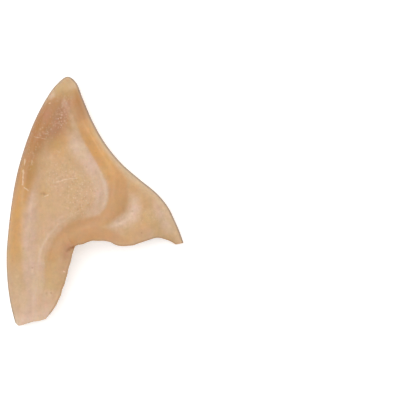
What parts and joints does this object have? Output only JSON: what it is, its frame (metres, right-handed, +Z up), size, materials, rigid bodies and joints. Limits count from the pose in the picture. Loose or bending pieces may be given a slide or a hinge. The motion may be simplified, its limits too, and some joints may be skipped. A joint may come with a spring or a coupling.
{
  "type": "pointed costume ear tip",
  "caption": "Thin latex ear tip with a rolled helix, a sharp upper point and a hooked tail, open below and behind so that it slips over the wearer's ear.",
  "frame": {"origin": "on the resting plane, under the middle of the ear's outline as it lies on its back", "axes": "+Y from the end of the tail to the pointed tip, +X from the helix to the front point, +Z up, out of the moulded face"},
  "size_m": [0.0608, 0.0858, 0.0151],
  "materials": {
    "latex": "cast latex tinted like pale skin, matt with a faint sheen, paler where it thins out and in its folds"
  },
  "bodies": {
    "root": {"ear_tip_shell": "latex"}
  },
  "joints": []
}
